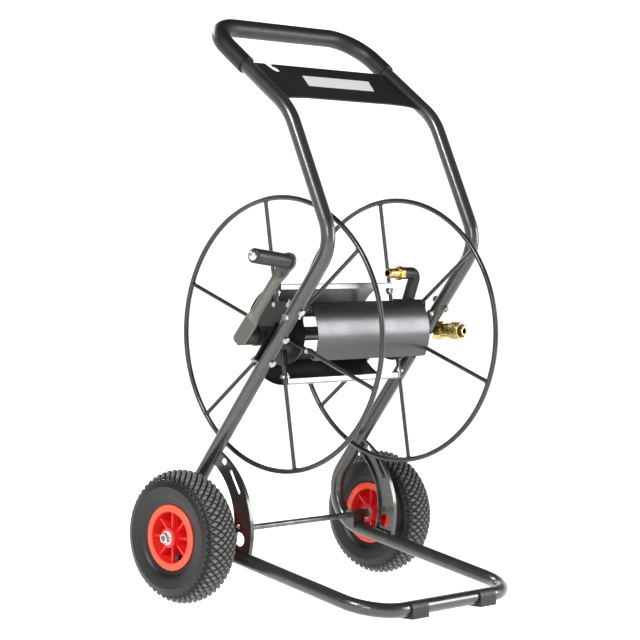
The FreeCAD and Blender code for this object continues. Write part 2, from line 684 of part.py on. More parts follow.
def make_outlet_tee():
    """Saddle tee on the pipe, with the socket that holds the neck."""
    half = TEE_WIDTH / 2
    body = rod(reel_point(OUTLET_X - half, 0, 0), reel_point(OUTLET_X + half, 0, 0), TEE_R)
    socket_end = TEE_R + 14.0
    branch = rod(reel_point(OUTLET_X, 0, 0), reel_point(OUTLET_X, socket_end, BRANCH_ANGLE), BRANCH_R)
    bore = rod(reel_point(OUTLET_X - half, 0, 0), reel_point(OUTLET_X + half, 0, 0), PIPE_R)
    port = rod(reel_point(OUTLET_X, 0, 0), reel_point(OUTLET_X, socket_end, BRANCH_ANGLE), NECK_BORE_R)
    socket = rod(reel_point(OUTLET_X, TEE_R + 7.0, BRANCH_ANGLE),
                 reel_point(OUTLET_X, socket_end + 1, BRANCH_ANGLE), NECK_R)
    slab_corner = Vector(OUTLET_X - half, REEL_Y - 100, REEL_Z - 100)
    slab = Part.makeBox(TEE_WIDTH, 200, 200, slab_corner)
    return body.fuse(branch).common(slab).cut([bore, port, socket]).removeSplitter()


def make_outlet_neck():
    return swept_tube(neck_corners(), [24.0, 15.0], NECK_R, NECK_BORE_R)


def make_outlet_nipple():
    """Brass nipple that the reeled hose is pushed onto."""
    start = neck_corners()[3]
    outward = Vector(-1, 0, 0)
    hexagon = hexagon_prism(start, outward, 24.0, 12.0)
    neck = rod(start + outward * 12, start + outward * 42, NIPPLE_R)
    plug = rod(start - outward * 12, start, NECK_BORE_R)
    groove = ring(start + outward * 30, start + outward * 33, NIPPLE_R + 1, NIPPLE_R - 1.5)
    flare = Part.makeCone(NIPPLE_R, NIPPLE_R - 2, 3, start + outward * 39, outward)
    tip = rod(start + outward * 39, start + outward * 42, NIPPLE_R + 1).cut(flare)
    bore = rod(start - outward * 20, start + outward * 50, WATER_BORE_R)
    return hexagon.fuse([neck, plug]).cut([groove, tip, bore]).removeSplitter()


# ---------------------------------------------------------------- water inlet

def inlet_point(forward):
    """Point on the coupling's own axis, forward of the swivel elbow."""
    return Vector(INLET_ELBOW_X, REEL_Y - forward, REEL_Z)


FORWARD = Vector(0, -1, 0)


def make_inlet_elbow():
    """Brass elbow: its spigot turns in the pipe end and its branch points forwards."""
    centre = inlet_point(0)
    shoulder = rod(reel_point(PIPE_FAR_END + SIDE_PLAY, 0, 0), centre, INLET_BODY_R)
    ball = Part.makeSphere(INLET_BODY_R, centre)
    branch = rod(centre, inlet_point(40), INLET_BODY_R - 1.5)
    spigot = rod(reel_point(PIPE_FAR_END - 40, 0, 0), centre, PIPE_BORE_R - RUNNING_FIT)
    body = shoulder.fuse([ball, branch, spigot]).removeSplitter()
    for start in (PIPE_FAR_END - 12, PIPE_FAR_END - 24):
        groove = ring(reel_point(start, 0, 0), reel_point(start + 3, 0, 0), PIPE_BORE_R + 1, PIPE_BORE_R - 2.5)
        body = body.cut(groove)
    bore_x = rod(reel_point(PIPE_FAR_END - 41, 0, 0), centre, WATER_BORE_R)
    bore_y = rod(centre, inlet_point(41), WATER_BORE_R)
    return body.cut([bore_x, bore_y])


def make_swivel_seals():
    seals = []
    for start in (PIPE_FAR_END - 12, PIPE_FAR_END - 24):
        seals.append(ring(reel_point(start + 0.2, 0, 0), reel_point(start + 2.8, 0, 0),
                          PIPE_BORE_R - RUNNING_FIT, PIPE_BORE_R - 2.5))
    return seals


def make_inlet_body():
    """Brass coupling body: hexagon, waist and the stub that the union nut turns on."""
    hexagon = hexagon_prism(inlet_point(40), FORWARD, INLET_HEX_AF, 27.0)
    waist = rod(inlet_point(67), inlet_point(88), 14.8)
    stub = rod(inlet_point(88), inlet_point(120), INLET_STUB_R)
    shoulder = rod(inlet_point(92.3), inlet_point(96), 12.0)
    bore = rod(inlet_point(39), inlet_point(121), INLET_BORE_R)
    return hexagon.fuse([waist, stub, shoulder]).cut(bore).removeSplitter()


def make_union_nut():
    """Knurled union nut, free to turn on the stub and held by the stub's shoulder."""
    outer = rod(inlet_point(88 + SIDE_PLAY), inlet_point(113), INLET_NUT_R)
    hole = rod(inlet_point(88), inlet_point(93), INLET_STUB_R + RUNNING_FIT)
    cavity = rod(inlet_point(92), inlet_point(114), 13.3)
    chamfer = Part.makeCone(INLET_NUT_R - 1.5, INLET_NUT_R + 1, 2.5, inlet_point(113), Vector(0, 1, 0))
    front = rod(inlet_point(110.5), inlet_point(113), INLET_NUT_R + 1).cut(chamfer)
    return outer.cut([hole, cavity, front])


def make_inlet_seal():
    return ring(inlet_point(96.2), inlet_point(114.5), 13.0, INLET_STUB_R)


# ---------------------------------------------------------------- crank

def crank_placed(shape):
    """Moves a shape from the crank's own frame (arm up +Z from the reel axis) to its rest position."""
    copy = shape.copy()
    copy.translate(REEL_CENTRE)
    copy.rotate(REEL_CENTRE, X_AXIS, CRANK_LEAN)
    return copy


TILT = math.radians(GRIP_TILT)
PAD_UP = Vector(math.sin(TILT), 0, math.cos(TILT))
PAD_OUT = Vector(-math.cos(TILT), 0, math.sin(TILT))
PAD_BEND = Vector(CRANK_X, 0, ARM_UPPER_FLAT_START)
GRIP_SEAT = PAD_BEND + PAD_UP * (CRANK_THROW - ARM_UPPER_FLAT_START)


def arm_section(centre, up, width, thickness):
    """Closed section across the arm: two sides and two rounded edges; equal sizes give a circle."""
    out = Vector(0, 1, 0).cross(Vector(up).normalize())
    across = Vector(0, 1, 0)
    round_tube = abs(width - thickness) < 0.01
    lean = math.radians(45) if round_tube else math.radians(90)
    radius = thickness / 2
    shift = (width - thickness) / 2
    side_y = shift + radius * math.cos(lean)
    side_x = radius * math.sin(lean)

    def spot(y, x):
        return centre + across * y + out * x

    top = radius if round_tube else side_x
    edges = [
        Part.Arc(spot(side_y, side_x), spot(shift + radius, 0), spot(side_y, -side_x)).toShape(),
        Part.Arc(spot(side_y, -side_x), spot(0, -top), spot(-side_y, -side_x)).toShape()
        if round_tube else Part.LineSegment(spot(side_y, -side_x), spot(-side_y, -side_x)).toShape(),
        Part.Arc(spot(-side_y, -side_x), spot(-shift - radius, 0), spot(-side_y, side_x)).toShape(),
        Part.Arc(spot(-side_y, side_x), spot(0, top), spot(side_y, side_x)).toShape()
        if round_tube else Part.LineSegment(spot(-side_y, side_x), spot(side_y, side_x)).toShape(),
    ]
    return Part.Wire(edges)


def make_crank_arm():
    """Steel tube pressed flat at both ends; the upper flat is bent in, the lower one has cut corners."""
    up = Vector(0, 0, 1)
    lower = Part.Face(arm_section(Vector(CRANK_X, 0, -ARM_TAIL), up, FLAT_WIDTH, FLAT_T))
    lower = lower.extrude(up * (ARM_TAIL + ARM_LOWER_FLAT_END))
    for side, cut in ((1, 6.0), (-1, 12.0)):
        edge = side * FLAT_WIDTH / 2
        corner = [Vector(CRANK_X - 10, edge, -ARM_TAIL), Vector(CRANK_X - 10, edge - side * cut, -ARM_TAIL),
                  Vector(CRANK_X - 10, edge, -ARM_TAIL + cut)]
        corner = Part.Face(Part.makePolygon(corner + corner[:1])).extrude(X_AXIS * 20)
        lower = lower.cut(corner)
    flat = arm_section(Vector(CRANK_X, 0, ARM_LOWER_FLAT_END), up, FLAT_WIDTH, FLAT_T)
    tube_low = arm_section(Vector(CRANK_X, 0, ARM_TUBE_START), up, 2 * ARM_TUBE_R, 2 * ARM_TUBE_R)
    tube_high = arm_section(Vector(CRANK_X, 0, ARM_TUBE_END), up, 2 * ARM_TUBE_R, 2 * ARM_TUBE_R)
    pad_low = arm_section(PAD_BEND, PAD_UP, FLAT_WIDTH, FLAT_T)
    pieces = [
        Part.makeLoft([flat, tube_low], True, True),
        Part.makeLoft([tube_low, tube_high], True, True),
        Part.makeLoft([tube_high, pad_low], True, True),
    ]
    pad = Part.Face(pad_low).extrude(PAD_UP * (CRANK_THROW - ARM_UPPER_FLAT_START))
    half = PAD_OUT * (FLAT_T / 2)
    pad_end = rod(GRIP_SEAT - half, GRIP_SEAT + half, FLAT_WIDTH / 2)
    hole = rod(GRIP_SEAT - half * 4, GRIP_SEAT + half * 4, GRIP_PIN_R + HOLE_CLEARANCE)
    arm = lower.fuse(pieces + [pad, pad_end]).cut(hole)
    return crank_placed(arm)


def make_crank_hub():
    """Socket welded behind the arm; it slides over the pipe end."""
    back = CRANK_X + FLAT_T / 2
    body = rod(Vector(back, 0, 0), Vector(back + CRANK_HUB_LENGTH, 0, 0), CRANK_HUB_R)
    bore = rod(Vector(PIPE_NEAR_END, 0, 0), Vector(back + CRANK_HUB_LENGTH + 1, 0, 0), PIPE_R)
    thread = rod(Vector(back + 16, PIPE_R - 1, 0), Vector(back + 16, CRANK_HUB_R + 1, 0), M8_R)
    return crank_placed(body.cut([bore, thread]))


def make_crank_bolt():
    """Clamp bolt that holds the crank's socket on the pipe."""
    x = CRANK_X + FLAT_T / 2 + 16
    outward = Vector(0, 1, 0)
    shank = rod(Vector(x, PIPE_R, 0), Vector(x, CRANK_HUB_R + 2, 0), M8_R)
    head = hexagon_prism(Vector(x, CRANK_HUB_R + 2, 0), outward, M8_AF, M8_HEAD)
    return crank_placed(shank.fuse(head).removeSplitter())


def make_crank_grip():
    start = GRIP_SEAT + PAD_OUT * (FLAT_T / 2 + SIDE_PLAY + 0.7)
    end = start + PAD_OUT * GRIP_LENGTH
    body = rod(start, end, GRIP_R)
    rims = [e for e in body.Edges if len(e.Vertexes) == 1]
    body = body.makeFillet(3.5, rims)
    return crank_placed(body.cut(rod(start - PAD_OUT, end + PAD_OUT, GRIP_PIN_R + RUNNING_FIT)))


def make_grip_bolt():
    """Pin of the grip, with its domed head outside and its nut behind the arm."""
    outer = GRIP_SEAT + PAD_OUT * (FLAT_T / 2 + 2 * SIDE_PLAY + 0.7 + GRIP_LENGTH)
    back = GRIP_SEAT - PAD_OUT * (FLAT_T / 2)
    shank = rod(back - PAD_OUT * 9, outer, GRIP_PIN_R)
    dome_r, dome_h = 9.5, 6.0
    ball_r = (dome_r ** 2 + dome_h ** 2) / (2 * dome_h)
    ball = Part.makeSphere(ball_r, outer + PAD_OUT * (dome_h - ball_r))
    dome = ball.common(rod(outer, outer + PAD_OUT * (dome_h + 1), dome_r + 1))
    nut = hexagon_prism(back - PAD_OUT * 7, PAD_OUT, M8_AF, 7.0, Vector(0, 1, 0))
    return crank_placed(dome.fuse([shank, nut]).removeSplitter())


# ---------------------------------------------------------------- feet

def make_foot_clip():
    """Plastic clip pressed over the toe bar from below, with a flat sole."""
    left = FOOT_X - FOOT_WIDTH / 2
    outer = TUBE_R + FOOT_WALL
    round_part = rod(Vector(left, TOE_Y, TOE_Z), Vector(left + FOOT_WIDTH, TOE_Y, TOE_Z), outer)
    sole = Part.makeBox(FOOT_WIDTH, 2 * outer, TOE_Z, Vector(left, TOE_Y - outer, 0))
    bore = rod(Vector(left - 1, TOE_Y, TOE_Z), Vector(left + FOOT_WIDTH + 1, TOE_Y, TOE_Z), TUBE_R)
    above = Part.makeBox(FOOT_WIDTH + 2, 4 * outer, 2 * outer,
                         Vector(left - 1, TOE_Y - 2 * outer, TOE_Z + 0.75 * TUBE_R))
    return round_part.fuse(sole).cut([bore, above]).removeSplitter()


# ---------------------------------------------------------------- wheel, made at x = 0 on the axle

WHEEL_CENTRE = Vector(0, 0, AXLE_Z)


def wheel_spot(x, radius):
    return Vector(x, 0, AXLE_Z + radius)


def spun(points):
    """Solid of revolution about the axle from a closed polygon of (x, radius)."""
    corners = [wheel_spot(x, radius) for x, radius in points]
    face = Part.Face(Part.makePolygon(corners + corners[:1]))
    return face.revolve(WHEEL_CENTRE, X_AXIS, 360)


def make_tyre():
    """Pneumatic tyre: bead seats on the rim, rounded walls and a nearly flat tread."""
    half = TYRE_WIDTH / 2
    crown = TYRE_OD / 2
    bead = RIM_WIDTH / 2 - RIM_WALL
    outer = [(bead, RIM_BARREL_R), (bead, RIM_FLANGE_R), (half - 3.5, crown - 50), (half, crown - 34),
             (half - 3, crown - 20), (half - 9, crown - 13.5), (half - 18, crown - 5), (0, crown)]
    inner = [(0, crown - 14), (half - 22, crown - 16), (half - 9, crown - 30), (half - 12, crown - 48),
             (bead - 8, RIM_FLANGE_R - 2), (bead - 8, RIM_BARREL_R)]

    def curve(points):
        spline = Part.BSplineCurve()
        spline.interpolate([wheel_spot(x, radius) for x, radius in points])
        return spline.toShape()

    both = outer[1:] + [(-x, radius) for x, radius in reversed(outer[1:-1])]
    inside = [(-x, radius) for x, radius in reversed(inner[:-1])] + inner[1:-1]

    def straight(start, end):
        return Part.LineSegment(wheel_spot(*start), wheel_spot(*end)).toShape()

    left_bead = [(-x, radius) for x, radius in (outer[0], inner[-1])]
    edges = [
        straight(outer[0], outer[1]), curve(both), straight(both[-1], left_bead[0]),
        straight(left_bead[0], left_bead[1]), straight(left_bead[1], inside[0]), curve(inside),
        straight(inside[-1], inner[-1]), straight(inner[-1], outer[0]),
    ]
    return Part.Face(Part.Wire(edges)).revolve(WHEEL_CENTRE, X_AXIS, 360)


def make_wheel_rim():
    """Plastic rim: barrel with two flanges, centre web, hub and ribs on both faces."""
    half = RIM_WIDTH / 2
    barrel_in = RIM_BARREL_R - RIM_WALL
    barrel = spun([(-half, barrel_in), (half, barrel_in), (half, RIM_FLANGE_R - 1.5), (half - 1, RIM_FLANGE_R),
                   (half - RIM_WALL, RIM_FLANGE_R), (half - RIM_WALL, RIM_BARREL_R),
                   (RIM_WALL - half, RIM_BARREL_R), (RIM_WALL - half, RIM_FLANGE_R), (1 - half, RIM_FLANGE_R),
                   (-half, RIM_FLANGE_R - 1.5)])
    web = spun([(-2, HUB_R - 1), (2, HUB_R - 1), (2, barrel_in + 1), (-2, barrel_in + 1)])
    hub_half = HUB_LENGTH / 2
    hub = spun([(-hub_half, BEARING_R), (hub_half, BEARING_R), (hub_half, HUB_R), (-hub_half, HUB_R)])
    ribs = []
    for k in range(RIB_COUNT):
        rib = Part.makeBox(2 * half - 14, 4, barrel_in - HUB_R + 2,
                           Vector(7 - half, -2, AXLE_Z + HUB_R - 1))
        rib.rotate(WHEEL_CENTRE, X_AXIS, k * 360.0 / RIB_COUNT)
        ribs.append(rib)
    rim = barrel.fuse([web, hub] + ribs).removeSplitter()
    seat = valve_seat()
    valve_hole = rod(seat[0], seat[1], 4.0)
    return rim.cut(valve_hole)


def valve_seat():
    """The valve stem leans out of the web, between two ribs."""
    angle = math.radians(360.0 / RIB_COUNT / 2 + 180.0)
    radial = Vector(0, math.sin(angle), math.cos(angle))
    start = WHEEL_CENTRE + radial * 41.0
    return start - X_AXIS * 6, start + X_AXIS * 6, radial


def make_valve():
    start, end, radial = valve_seat()
    base = start + X_AXIS * 8
    stem = rod(base - X_AXIS * 12, base + X_AXIS * 18, 4.0)
    cap = rod(base + X_AXIS * 18, base + X_AXIS * 27, 4.8)
    foot = rod(base - X_AXIS * 16, base - X_AXIS * 4, 6.5)
    return stem.fuse([cap, foot.cut(Part.makeBox(4.0, 40, 40, start - Vector(-4, 20, 20)))]).removeSplitter()


def make_hub_bearings():
    hub_half = HUB_LENGTH / 2
    bearings = []
    for start in (-hub_half, hub_half - BEARING_LENGTH):
        bearings.append(ring(Vector(start, 0, AXLE_Z), Vector(start + BEARING_LENGTH, 0, AXLE_Z),
                             BEARING_R, AXLE_R + RUNNING_FIT))
    return bearings


def on_far_wheel(shapes):
    moved = [shape.copy() for shape in shapes]
    for shape in moved:
        shape.translate(X_AXIS * WHEEL_X)
    return moved


# ---------------------------------------------------------------- assembly

def as_list(shapes):
    return shapes if isinstance(shapes, list) else [shapes]


def build_nodes():
    core = leg_and_base_core()
    gusset = make_gusset(core)
    near_collar_start = -LEG_X - NEAR_BUSH_REACH - 1.0 - COLLAR_LENGTH
    foot = make_foot_clip()
    hub_disc = make_hub_disc()
    nodes = {
        "handle_bow": make_handle_bow(),
        "base_frame": make_base_frame(),
        "connector_sleeves": make_connector_sleeves(),
        "joint_bolts": make_joint_bolts(),
        "gusset_far": gusset,
        "gusset_near": other_side(gusset),
        "handle_sleeve": make_handle_sleeve(),
        "cross_plate": make_cross_plate(),
        "label_panel": make_label_panel(),
        "wheel_axle": make_wheel_axle(),
        "axle_saddles": make_axle_saddles(core),
        "wheel_spacers": make_wheel_spacers(),
        "axle_washers": make_axle_washers(),
        "axle_nuts": make_axle_nuts(),
        "bearing_bracket_far": make_bearing_bracket(FAR_WEB_FRONT),
        "bearing_bracket_near": other_side(make_bearing_bracket(WEB_FRONT)),
        "bracket_bolts": make_bracket_bolts(),
        "bearing_bush_far": make_bush(FAR_BUSH_REACH),
        "bearing_bush_near": make_near_bush(),
        "web_screws": make_web_screws(),
        "foot_clip_far": foot,
        "foot_clip_near": other_side(foot),
        "reel_rim_near": rim_torus(-1),
        "reel_rim_far": rim_torus(1),
        "spokes_near": make_spokes(-1),
        "spokes_far": make_spokes(1),
        "hub_disc_near": other_side(hub_disc),
        "hub_disc_far": hub_disc,
        "drum_sheet_front": make_sheet(0),
        "drum_sheet_rear": make_sheet(1),
        "drum_sheet_bottom": make_sheet(2),
        "sheet_screws": make_sheet_screws(),
        "axle_pipe": make_axle_pipe(),
        "pipe_plug": make_pipe_plug(),
        "stop_collar_near": make_stop_collar(near_collar_start, NEAR_COLLAR_R),
        "stop_collar_far": make_stop_collar(LEG_X + FAR_BUSH_REACH + 1.0, FAR_COLLAR_R),
        "outlet_tee": make_outlet_tee(),
        "outlet_neck": make_outlet_neck(),
        "outlet_nipple": make_outlet_nipple(),
        "inlet_elbow": make_inlet_elbow(),
        "swivel_seals": make_swivel_seals(),
        "inlet_body": make_inlet_body(),
        "inlet_seal": make_inlet_seal(),
        "union_nut": make_union_nut(),
        "crank_arm": make_crank_arm(),
        "crank_hub": make_crank_hub(),
        "crank_bolt": make_crank_bolt(),
        "crank_grip": make_crank_grip(),
        "grip_bolt": make_grip_bolt(),
    }
    wheel = {
        "tyre": [make_tyre()],
        "wheel_rim": [make_wheel_rim()],
        "valve": [make_valve()],
        "hub_bearings": make_hub_bearings(),
    }
    for name, shapes in wheel.items():
        far = on_far_wheel(shapes)
        nodes[name + "_far"] = far
        nodes[name + "_near"] = [other_side(shape) for shape in far]
    return nodes


def export(nodes):
    """Moves the pieces so that the footprint's middle on the floor is the origin, and writes their files."""
    os.makedirs("parts", exist_ok=True)
    solids = {name: [s for shape in as_list(shapes) for s in shape.Solids] for name, shapes in nodes.items()}
    box = Part.makeCompound([s for group in solids.values() for s in group]).optimalBoundingBox(False, False)
    shift = Vector(-box.Center.x, -box.Center.y, -box.ZMin)
    print("shift", round(shift.x, 4), round(shift.y, 4), round(shift.z, 4))
    print("size", round(box.XLength, 1), round(box.YLength, 1), round(box.ZLength, 1))
    for name, group in solids.items():
        for solid in group:
            solid.translate(shift)
        piece = group[0] if len(group) == 1 else Part.makeCompound(group)
        piece.exportStep("parts/" + name + ".step")
        print(name, len(group), "solids", round(piece.Volume), "valid" if piece.isValid() else "INVALID")


export(build_nodes())
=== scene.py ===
import bpy
import numpy as np
from mathutils import Matrix, Vector


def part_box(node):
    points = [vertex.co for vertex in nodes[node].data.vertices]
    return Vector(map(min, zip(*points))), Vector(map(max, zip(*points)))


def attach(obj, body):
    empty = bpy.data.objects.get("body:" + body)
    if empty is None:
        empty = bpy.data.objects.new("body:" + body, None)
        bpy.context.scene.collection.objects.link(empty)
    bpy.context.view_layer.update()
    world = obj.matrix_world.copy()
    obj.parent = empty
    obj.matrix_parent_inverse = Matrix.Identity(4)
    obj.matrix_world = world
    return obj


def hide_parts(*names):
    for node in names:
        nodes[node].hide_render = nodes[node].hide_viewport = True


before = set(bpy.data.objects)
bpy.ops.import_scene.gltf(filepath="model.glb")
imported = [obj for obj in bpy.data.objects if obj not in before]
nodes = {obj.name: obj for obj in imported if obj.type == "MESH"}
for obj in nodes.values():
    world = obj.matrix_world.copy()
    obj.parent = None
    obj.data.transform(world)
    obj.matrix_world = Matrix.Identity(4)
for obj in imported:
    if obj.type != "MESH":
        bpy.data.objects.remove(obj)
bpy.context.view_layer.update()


# ---------------------------------------------------------------- camera, floor and light
# A long lens set low, level with the reel, looks from the crank side and the toe bar.
# The floor is a pale sheet that curves up far behind the cart, under large soft lamps.

look = Vector((0.72736674, 0.6855971, -0.02990391))
right = Vector((0.68595312, -0.72764194, 0.0023502))
eye = Vector((-3.114329, -2.889318, 0.67539))
sensor_mm, focal_mm = 36.0, 120.9583125
lens = bpy.data.cameras.new("camera")
lens.sensor_width = sensor_mm
lens.lens = focal_mm
lens.clip_end = 100.0
camera = bpy.data.objects.new("camera", lens)
up = right.cross(look)
camera.matrix_world = Matrix((
    (right.x, up.x, -look.x, eye.x),
    (right.y, up.y, -look.y, eye.y),
    (right.z, up.z, -look.z, eye.z),
    (0, 0, 0, 1),
))
bpy.context.scene.collection.objects.link(camera)
bpy.context.scene.camera = camera
bpy.context.scene.view_settings.view_transform = "Standard"


def surface(name, points, closed=(False, False)):
    """A mesh over a grid of points, shape (rows, columns, 3); closed says which ways run round."""
    rows, columns = points.shape[:2]
    number = np.arange(rows * columns).reshape(rows, columns)
    if closed[0]:
        number = np.vstack([number, number[:1]])
    if closed[1]:
        number = np.hstack([number, number[:, :1]])
    quads = np.stack([number[:-1, :-1], number[:-1, 1:], number[1:, 1:], number[1:, :-1]], -1).reshape(-1, 4)
    mesh = bpy.data.meshes.new(name)
    mesh.from_pydata(points.reshape(-1, 3).tolist(), [], quads.tolist())
    mesh.shade_smooth()
    piece = bpy.data.objects.new(name, mesh)
    bpy.context.scene.collection.objects.link(piece)
    return piece


# The floor's profile is flat, then y = 6 + r sin(a), z = r (1 - cos(a)), carried across and turned about z.
sweep_r, floor_turn = 4, -46.7
flat_steps = 12
bend = np.linspace(0, np.pi / 2, 24)
run = np.concatenate([np.linspace(-12, 5.5, flat_steps), 6 + sweep_r * np.sin(bend)])
rise = np.concatenate([np.zeros(flat_steps), sweep_r * (1 - np.cos(bend))])
across = np.linspace(-14, 14, 10)
sheet = np.stack(np.broadcast_arrays(across[:, None], run[None, :], rise[None, :]), -1)
turn = np.array(Matrix.Rotation(np.radians(floor_turn), 3, "Z"))
floor = surface("floor", sheet @ turn.T)


class Field:
    """One socket of a material's nodes, so that shader maths reads as plain expressions."""

    def __init__(self, tree, socket):
        self.tree = tree
        self.socket = socket

    def node(self, kind, settings=None, sockets=None, out=0):
        """Adds a node of a kind: its settings first, then the value or link of each named socket."""
        made = self.tree.nodes.new("ShaderNode" + kind)
        for name, value in (settings or {}).items():
            setattr(made, name, value)
        for name, value in (sockets or {}).items():
            if isinstance(value, Field):
                self.tree.links.new(value.socket, made.inputs[name])
            else:
                made.inputs[name].default_value = value
        return Field(self.tree, made.outputs[out])

    def __mul__(self, other):
        return self.node("Math", {"operation": "MULTIPLY"}, {0: self, 1: other})

    __rmul__ = __mul__

    def within(self, low, high, new_low=0.0, new_high=1.0):
        """The value carried from one range to another and held inside it."""
        sockets = {"Value": self, "From Min": low, "From Max": high, "To Min": new_low, "To Max": new_high}
        return self.node("MapRange", {"clamp": True}, sockets)

    def noise(self, scale, detail=2.0, roughness=0.5):
        """Cloudy noise read at this place, from 0 to 1."""
        sockets = {"Vector": self, "Scale": scale, "Detail": detail, "Roughness": roughness}
        return self.node("TexNoise", {}, sockets)

    def blend(self, one, two):
        """Colour one where this is 0 and colour two where it is 1."""
        made = self.tree.nodes.new("ShaderNodeMix")
        made.data_type = "RGBA"
        self.tree.links.new(self.socket, made.inputs["Factor"])
        for name, value in (("A", one), ("B", two)):
            socket = [s for s in made.inputs if s.name == name and s.type == "RGBA"][0]
            if isinstance(value, Field):
                self.tree.links.new(value.socket, socket)
            else:
                socket.default_value = (*value, 1.0)
        return Field(self.tree, [s for s in made.outputs if s.type == "RGBA"][0])

    def relief(self, height_mm, strength=1.0):
        """The surface normal over this relief, where 1 stands height_mm proud."""
        sockets = {"Height": self, "Distance": height_mm / 1000, "Strength": strength}
        return self.node("Bump", {}, sockets)


def material(name):
    """A new material with no nodes, and the object's own coordinates, in metres, as a Field."""
    made = bpy.data.materials.new(name)
    made.use_nodes = True
    made.node_tree.nodes.clear()
    coordinates = made.node_tree.nodes.new("ShaderNodeTexCoord")
    return made, Field(made.node_tree, coordinates.outputs["Object"])


def shade(made, **sockets):
    """Gives a material its surface; names are the shader's sockets, with _ for a space."""
    tree = made.node_tree
    shader = tree.nodes.new("ShaderNodeBsdfPrincipled")
    for name, value in sockets.items():
        socket = shader.inputs[name.replace("_", " ")]
        if isinstance(value, Field):
            tree.links.new(value.socket, socket)
        elif isinstance(value, tuple) and len(value) == 3 and socket.type == "RGBA":
            socket.default_value = (*value, 1.0)
        else:
            socket.default_value = value
    output = tree.nodes.new("ShaderNodeOutputMaterial")
    tree.links.new(shader.outputs["BSDF"], output.inputs["Surface"])
    return made


def finish(made, *names):
    """Puts a material on CAD nodes, by name."""
    for name in names:
        mesh = nodes[name].data
        mesh.materials.clear()
        mesh.materials.append(made)


paper, where = material("paper floor")
shade(
    paper,
    Base_Color=(0.9, 0.9, 0.9),
    Roughness=0.95,
    Emission_Color=(1.0, 1.0, 1.0),
    Emission_Strength=0.85,
)
floor.data.materials.append(paper)

# The room is pale at eye level and dim overhead, so that rounded steel shows a dark upper side.
world = bpy.data.worlds.new("studio")
world.use_nodes = True
sky = world.node_tree
sky.nodes.clear()
direction = Field(sky, sky.nodes.new("ShaderNodeTexCoord").outputs["Generated"])
height = direction.node("SeparateXYZ", {}, {"Vector": direction}, out=2)
dome = height.within(0.05, 0.55).blend((0.85, 0.85, 0.85), (0.07, 0.07, 0.072))
air = dome.node("Background", {}, {"Color": dome, "Strength": 0.9})
sky.links.new(air.socket, sky.nodes.new("ShaderNodeOutputWorld").inputs["Surface"])
bpy.context.scene.world = world


def lamp(name, place, target, width, height, power):
    """A rectangular soft lamp, in metres and watts, turned to face its target."""
    light = bpy.data.lights.new(name, "AREA")
    light.shape = "RECTANGLE"
    light.size = width
    light.size_y = height
    light.energy = power
    made = bpy.data.objects.new(name, light)
    made.location = place
    made.rotation_euler = (Vector(target) - Vector(place)).to_track_quat("-Z", "Y").to_euler()
    bpy.context.scene.collection.objects.link(made)


lamp("side lamp", (2.9, -2.7, 1.15), (0, 0, 0.5), 1.3, 1.5, 72)
lamp("front lamp", (-3.6, -2.6, 1.5), (0, 0, 0.4), 1.2, 1.2, 45)
lamp("key lamp", (-3.4, -0.6, 2.9), (0, 0, 0.6), 0.9, 0.9, 120)
lamp("rear lamp", (0.6, 3.6, 2.6), (0, 0, 0.7), 1.4, 0.8, 70)


# ---------------------------------------------------------------- frame tubes
# The toe frame and the handle bow are bent 28 mm steel tube, plugged together in each leg and bolted.
# Both are powder coated in a glossy graphite with fine metal flake and a faint orange peel.

tube_r = 0.014
low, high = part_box("base_frame")
middle_x = (low.x + high.x) / 2
leg_x = (high.x - low.x) / 2 - tube_r
low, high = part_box("wheel_axle")
axle_y = (low.y + high.y) / 2
graphite, where = material("graphite powder coat")
flake = where.noise(2100, 1.0).within(0.40, 0.64)
cloud = where.noise(7, 3.0)
dust = where.noise(38, 5.0, 0.65).within(0.52, 0.75, 0.0, 0.22)
coat = flake.blend((0.030, 0.034, 0.031), (0.112, 0.118, 0.108))
shade(
    graphite,
    Base_Color=dust.blend(coat, (0.17, 0.172, 0.155)),
    Metallic=0.72,
    Roughness=cloud.within(0.3, 0.7, 0.27, 0.38),
    Coat_Weight=0.7,
    Coat_Roughness=0.1,
    Normal=where.noise(420, 2.0).relief(0.025),
)
finish(graphite, "base_frame", "handle_bow", "connector_sleeves")


# ---------------------------------------------------------------- gussets, axle saddles and their welds
# Each gusset is a pressed crescent welded between leg and toe frame, with punched holes and a slot.
# The saddles are welded under the rails and bored for the axle. All are coated with the frame.

finish(graphite, "gusset_near", "gusset_far", "axle_saddles")


